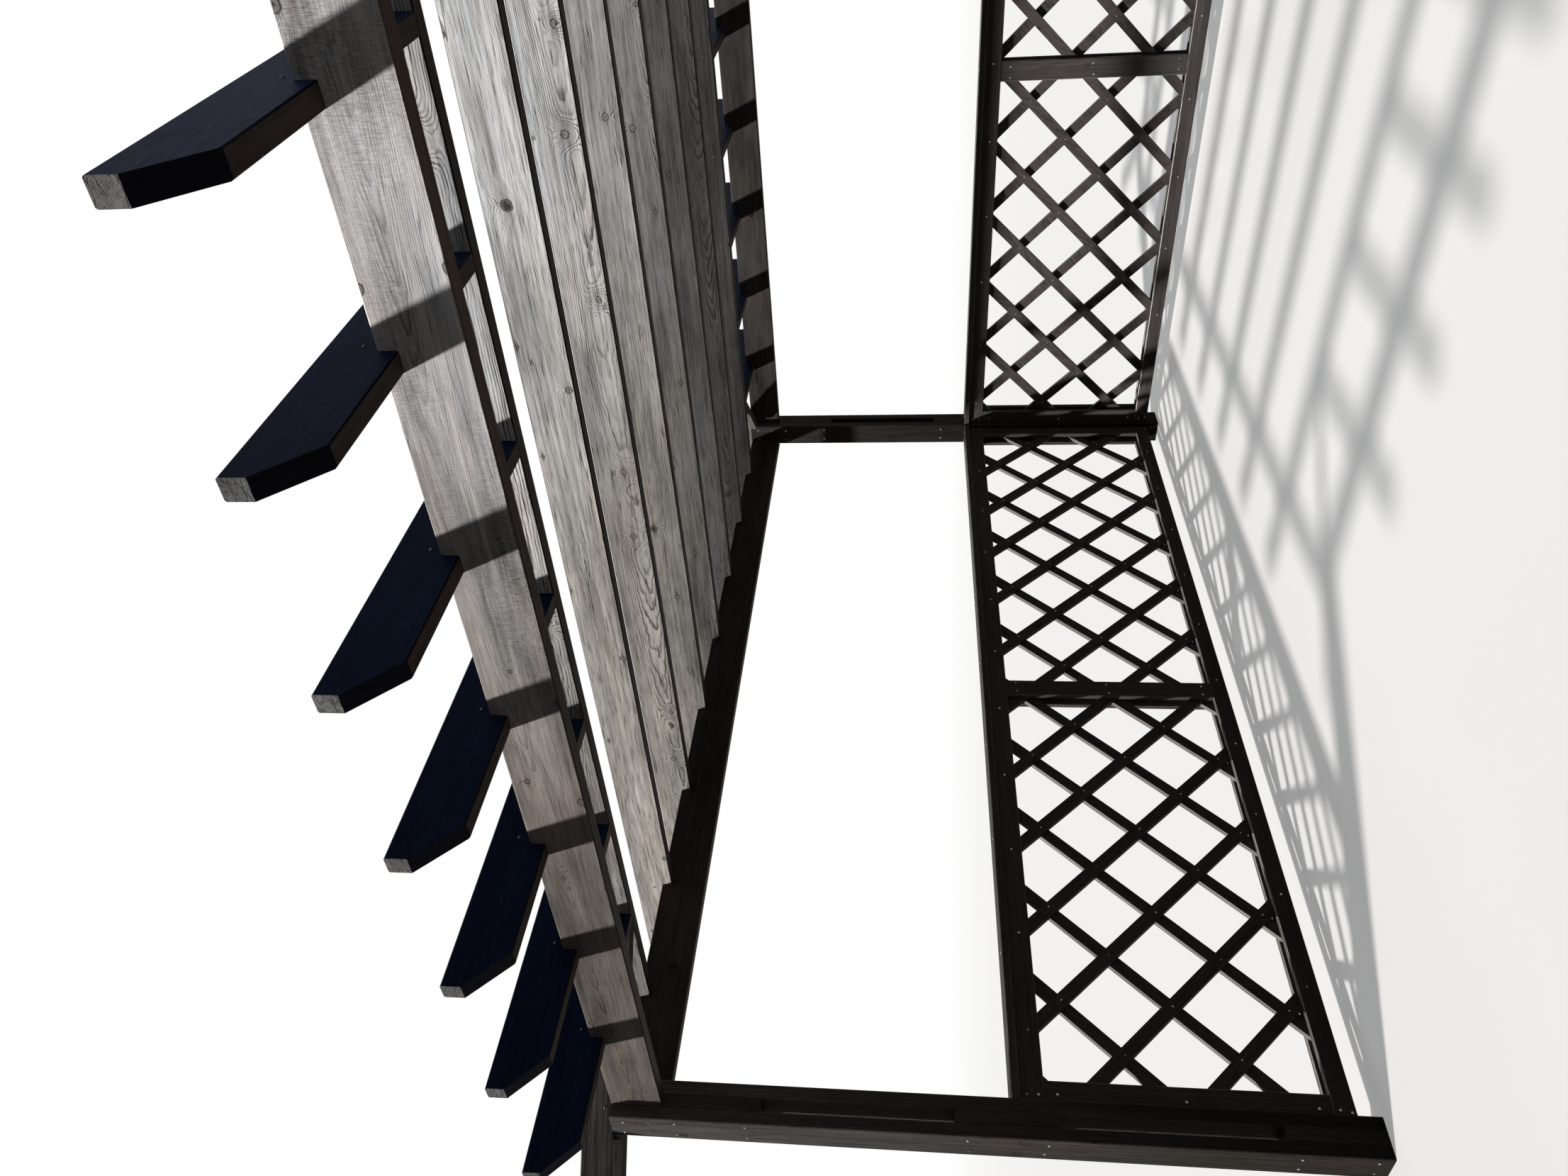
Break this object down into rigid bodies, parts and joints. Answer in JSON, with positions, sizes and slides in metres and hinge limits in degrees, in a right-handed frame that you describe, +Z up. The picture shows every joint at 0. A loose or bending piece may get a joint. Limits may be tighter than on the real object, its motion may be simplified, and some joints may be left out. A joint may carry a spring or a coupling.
{
  "type": "wooden pergola",
  "caption": "Open wooden pergola on four built-up posts, with notched rafters, splayed corner tails and low lattice fences on three sides.",
  "frame": {"origin": "middle of the footprint, on the ground", "axes": "+Z up, -Y towards the open front, +X to the right seen from the front"},
  "size_m": [5.08, 5.167, 2.535],
  "materials": {
    "post_wood": "weathered stain",
    "beam_wood": "weathered stain",
    "roof_wood": "weathered stain",
    "corner_tail_wood": "weathered bare",
    "fence_wood": "dark stain"
  },
  "bodies": {
    "root": {"front_header": "beam_wood", "front_left_corner_tail": "corner_tail_wood", "front_left_post_inner_plank": "post_wood", "front_left_post_outer_plank": "post_wood", "front_left_post_spacer_blocks": "post_wood", "front_right_corner_tail": "corner_tail_wood", "front_right_post_inner_plank": "post_wood", "front_right_post_outer_plank": "post_wood", "front_right_post_spacer_blocks": "post_wood", "front_tails": "roof_wood", "left_fence_cap": "fence_wood", "left_fence_lattice": "fence_wood", "left_fence_rails": "fence_wood", "left_fence_stiles": "fence_wood", "left_side_beam": "beam_wood", "rafter_1": "roof_wood", "rafter_2": "roof_wood", "rafter_3": "roof_wood", "rafter_4": "roof_wood", "rafter_5": "roof_wood", "rafter_6": "roof_wood", "rafter_7": "roof_wood", "rafter_8": "roof_wood", "rear_fence_cap": "fence_wood", "rear_fence_lattice": "fence_wood", "rear_fence_rails": "fence_wood", "rear_fence_stiles": "fence_wood", "rear_header": "beam_wood", "rear_left_corner_tail": "corner_tail_wood", "rear_left_post_inner_plank": "post_wood", "rear_left_post_outer_plank": "post_wood", "rear_left_post_spacer_blocks": "post_wood", "rear_right_corner_tail": "corner_tail_wood", "rear_right_post_inner_plank": "post_wood", "rear_right_post_outer_plank": "post_wood", "rear_right_post_spacer_blocks": "post_wood", "rear_tails": "roof_wood", "right_fence_cap": "fence_wood", "right_fence_lattice": "fence_wood", "right_fence_rails": "fence_wood", "right_fence_stiles": "fence_wood", "right_side_beam": "beam_wood"}
  },
  "joints": []
}
